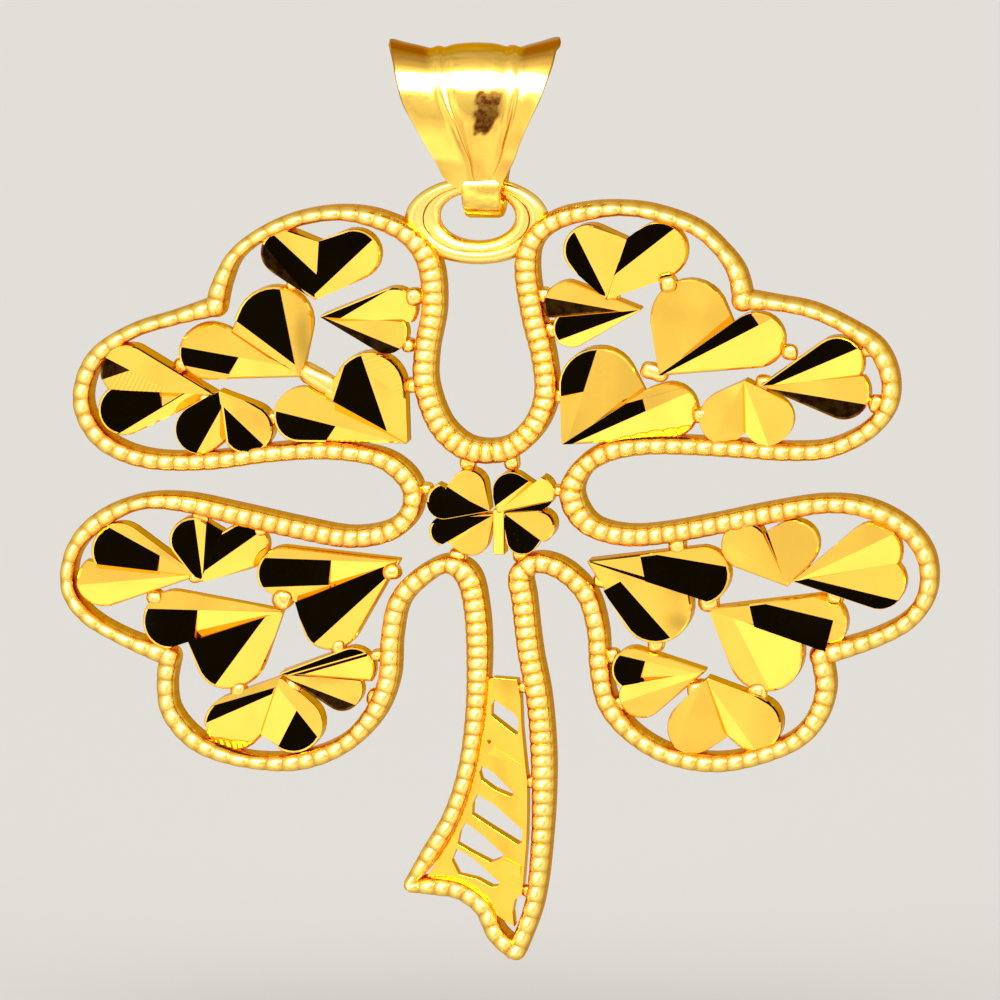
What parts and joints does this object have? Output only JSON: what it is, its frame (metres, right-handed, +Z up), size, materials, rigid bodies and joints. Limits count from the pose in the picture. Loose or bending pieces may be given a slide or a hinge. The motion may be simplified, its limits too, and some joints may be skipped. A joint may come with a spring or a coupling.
{
  "type": "four-leaf clover pendant",
  "caption": "Yellow-gold four-leaf clover pendant: a ridged wire outline filled with cut hearts, a pierced stem, and a flared bail that it swings from.",
  "frame": {"origin": "the chain's seat, on the inside of the bail's top", "axes": "+X to the right along the chain and the hinge, +Z up, the front faces -Y"},
  "size_m": [0.0294, 0.0044, 0.0307],
  "materials": {
    "bail_gold": "burnished yellow gold",
    "cut_gold": "diamond-cut yellow gold with mirror facets and thin bright rims",
    "wire_gold": "ridged milgrain yellow gold",
    "cast_gold": "cast yellow gold, softly polished"
  },
  "bodies": {
    "bail": {"bail": "bail_gold"},
    "clover": {"clover": "cut_gold"}
  },
  "joints": [
    {"name": "clover_swing", "type": "hinge", "parent": "bail", "child": "clover", "pos_m": [0, 0, -0.00435], "axis": [1, 0, 0], "range_deg": [-95, 95]}
  ]
}
